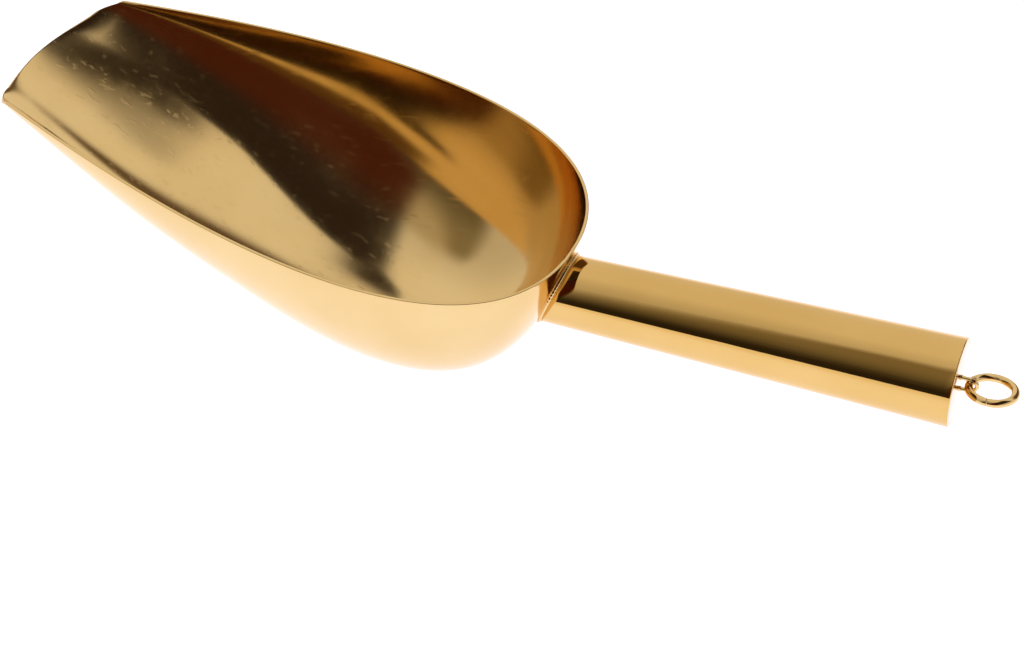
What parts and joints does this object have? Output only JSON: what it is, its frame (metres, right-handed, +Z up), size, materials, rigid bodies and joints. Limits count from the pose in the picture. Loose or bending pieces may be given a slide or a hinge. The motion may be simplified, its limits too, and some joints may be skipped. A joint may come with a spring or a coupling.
{
  "type": "ice scoop",
  "caption": "Bar ice scoop with a deep rounded bowl tapering to a flat lip, a tapered tube handle and a hanging ring in a wire eye",
  "frame": {"origin": "under the middle of the whole scoop, at the height of the bowl's lowest point", "axes": "x along the handle from the mouth to the hanging ring, y across the bowl, z up out of the open bowl"},
  "size_m": [0.2598, 0.0814, 0.067],
  "materials": {
    "bowl_metal": "gold coloured coating on polished stainless steel, mirror bright",
    "handle_metal": "gold coloured coating on polished stainless steel tube, mirror bright",
    "weld_metal": "fine rippled weld under the same gold coloured coating",
    "wire_metal": "gold coloured coating on bright drawn wire"
  },
  "bodies": {
    "scoop": {"scoop_bowl": "bowl_metal", "handle_tube": "handle_metal", "handle_weld_bead": "weld_metal", "handle_end_cap": "handle_metal", "hanging_eye": "wire_metal"},
    "ring": {"hanging_ring": "wire_metal"}
  },
  "joints": [
    {"name": "ring_swing", "type": "hinge", "parent": "scoop", "child": "ring", "pos_m": [0.11871, 0, 0.02392], "axis": [0, 1, 0], "range_deg": [-90, 90]}
  ]
}
